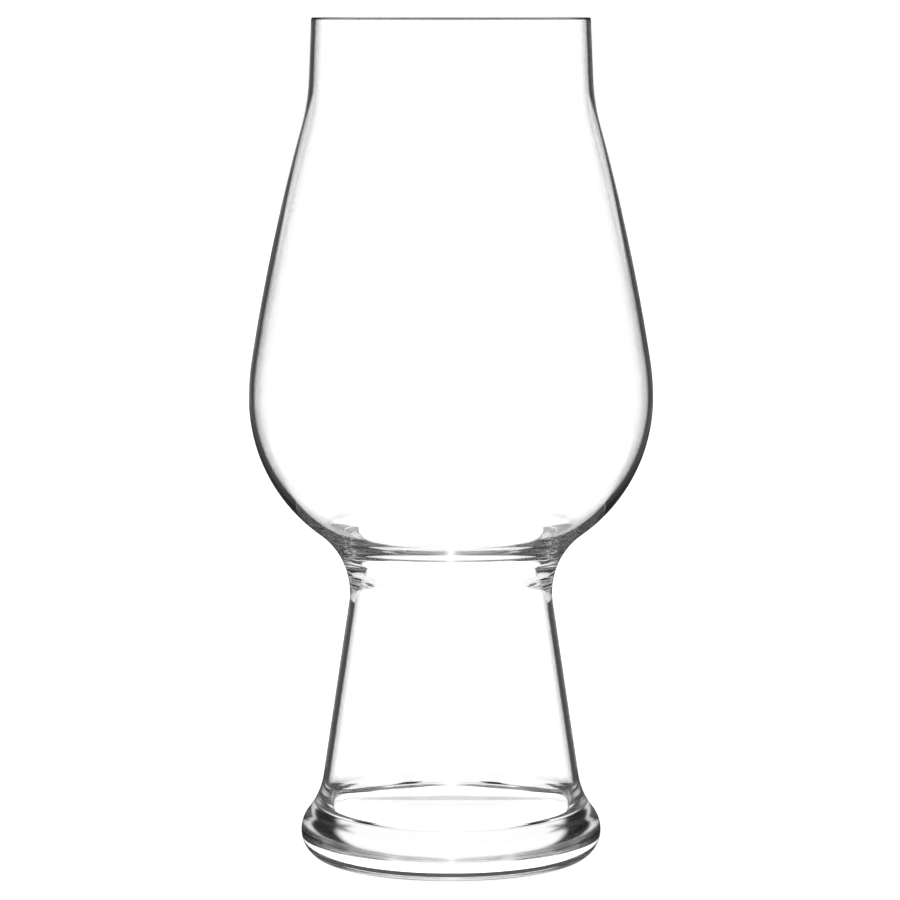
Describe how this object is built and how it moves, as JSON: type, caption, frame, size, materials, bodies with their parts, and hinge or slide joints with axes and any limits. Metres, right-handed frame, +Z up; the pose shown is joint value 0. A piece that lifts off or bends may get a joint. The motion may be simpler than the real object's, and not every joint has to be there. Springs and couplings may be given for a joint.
{
  "type": "beer glass",
  "caption": "Clear drinking glass for beer, turned in one piece: a rounded bowl under a short straight lip, a wide hollow stem and a thick foot.",
  "frame": {"origin": "centre of the ring that the foot stands on, at table level", "axes": "+Z up along the axis of the turned form; X and Y are alike"},
  "size_m": [0.085, 0.085, 0.1775],
  "materials": {
    "clear_glass": "clear, fire-polished, faintly green where it is thick"
  },
  "bodies": {
    "root": {"glass": "clear_glass"}
  },
  "joints": []
}
